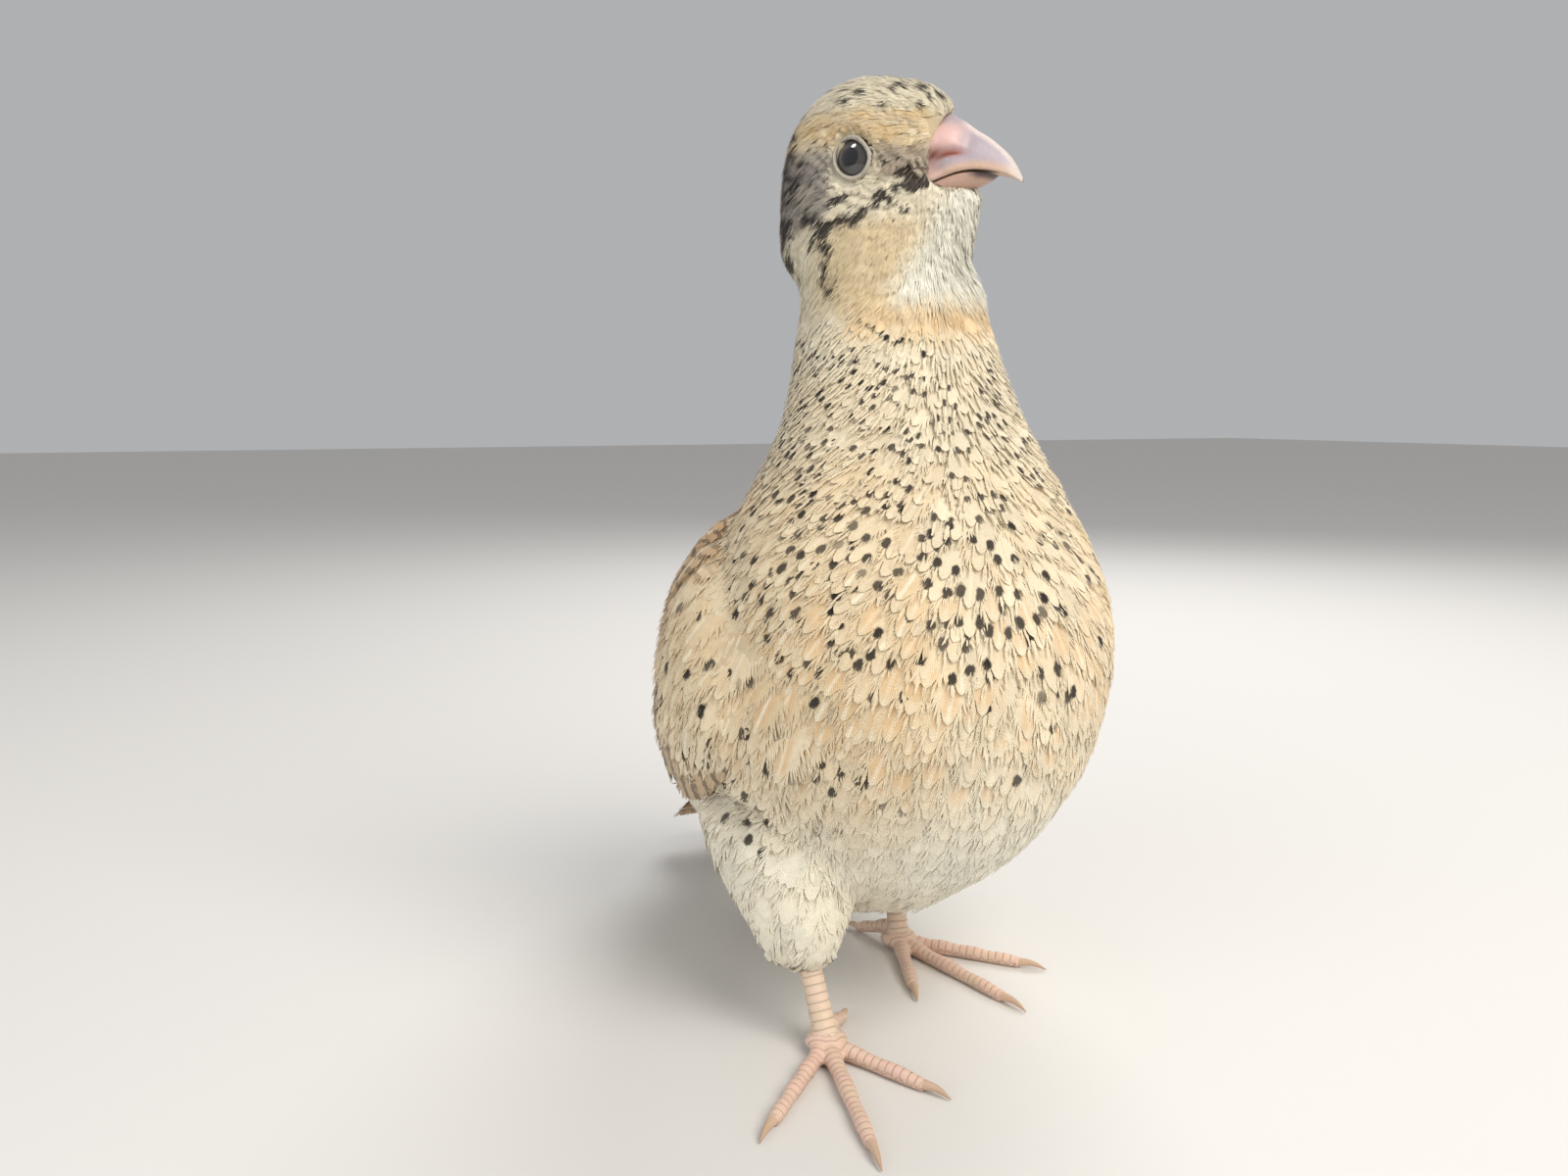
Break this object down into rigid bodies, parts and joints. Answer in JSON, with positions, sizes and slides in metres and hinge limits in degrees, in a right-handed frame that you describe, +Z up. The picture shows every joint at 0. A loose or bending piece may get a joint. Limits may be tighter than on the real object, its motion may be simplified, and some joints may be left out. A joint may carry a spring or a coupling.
{
  "type": "quail figure",
  "caption": "Life-size still model of a coturnix quail standing tall with its head turned to its left.",
  "frame": {"origin": "middle of the bounding box on the floor the bird stands on", "axes": "the body faces -Y, +Z is up, +X is the bird's left side; the head is turned toward +X"},
  "size_m": [0.0732, 0.124, 0.1435],
  "materials": {
    "plumage": "matte feathers",
    "bill": "satin horn",
    "eye": "wet gloss",
    "leg": "scaly skin",
    "claw": "satin horn"
  },
  "bodies": {
    "root": {"head": "plumage", "bill_upper": "bill", "bill_lower": "bill", "eye_left": "eye", "eye_right": "eye", "neck": "plumage", "torso": "plumage", "wing_left": "plumage", "wing_right": "plumage", "tail": "plumage", "thigh_right": "plumage", "shank_right": "leg", "toe_right_1": "leg", "claw_right_1": "claw", "toe_right_2": "leg", "claw_right_2": "claw", "toe_right_3": "leg", "claw_right_3": "claw", "toe_right_4": "leg", "claw_right_4": "claw", "thigh_left": "plumage", "shank_left": "leg", "toe_left_1": "leg", "claw_left_1": "claw", "toe_left_2": "leg", "claw_left_2": "claw", "toe_left_3": "leg", "claw_left_3": "claw", "toe_left_4": "leg", "claw_left_4": "claw"}
  },
  "joints": []
}
